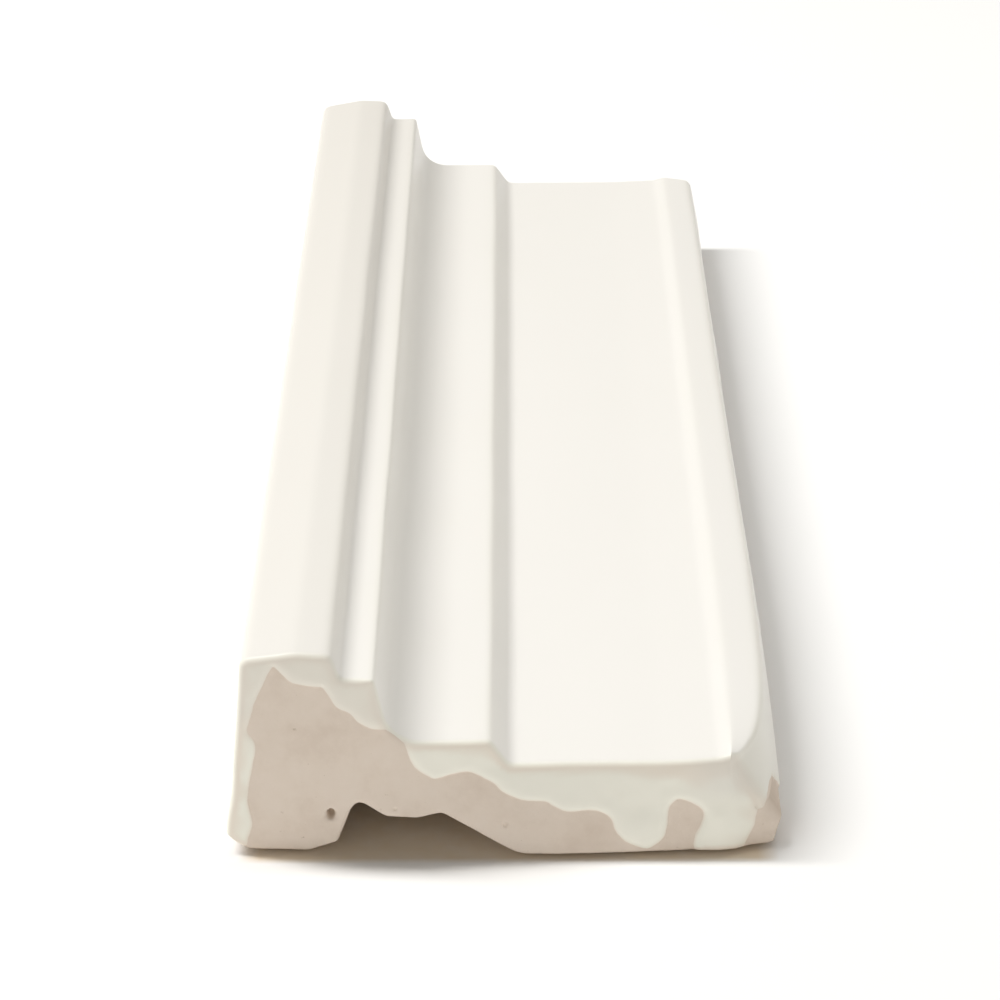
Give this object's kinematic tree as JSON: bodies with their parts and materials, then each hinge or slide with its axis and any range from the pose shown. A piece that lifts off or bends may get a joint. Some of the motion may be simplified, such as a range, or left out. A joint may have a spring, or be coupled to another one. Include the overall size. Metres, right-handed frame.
{
  "type": "ceramic ogee trim tile",
  "caption": "Straight ceramic trim tile with a raised rounded nose, fillet, hollow cove, step and flat panel, white glaze over bare clay, and a relief channel along its back.",
  "frame": {"origin": "middle of the tile's footprint, on the plane of its two back feet, which is the wall face when it is set", "axes": "+X across the width from the thick nose edge to the thin edge, +Y along the length away from the end with the long drips, +Z out from the wall face"},
  "size_m": [0.0514, 0.1524, 0.0209],
  "materials": {
    "glazed_clay": "glossy warm white glaze over the face, edges and part of the ends; bare matt beige clay on the back and the lower part of the ends"
  },
  "bodies": {
    "root": {"ogee_trim_tile": "glazed_clay"}
  },
  "joints": []
}
